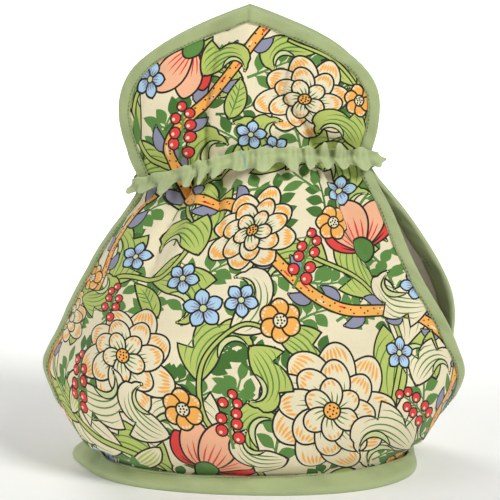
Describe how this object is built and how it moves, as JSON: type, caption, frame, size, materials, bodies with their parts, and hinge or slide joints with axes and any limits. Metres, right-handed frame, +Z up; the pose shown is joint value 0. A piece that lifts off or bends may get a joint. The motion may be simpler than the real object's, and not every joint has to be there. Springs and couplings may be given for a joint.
{
  "type": "tea cosy",
  "caption": "Padded cotton tea cosy with a drawn-in neck, a pointed flap above it, open sides for spout and handle, bound edges and an open hem that goes over a teapot.",
  "frame": {"origin": "centre of the footprint, on the surface that the hem stands on", "axes": "+Z up, -Y out of the front panel, +X towards the handle side"},
  "size_m": [0.2588, 0.2029, 0.2825],
  "materials": {
    "printed_cotton": "matte woven cotton with a leaf and flower print",
    "green_binding": "matte sage green woven cotton"
  },
  "bodies": {
    "root": {"front_panel": "printed_cotton", "back_panel": "printed_cotton", "front_binding": "green_binding", "back_binding": "green_binding", "neck_ruffle": "green_binding", "hem_binding": "green_binding"}
  },
  "joints": []
}
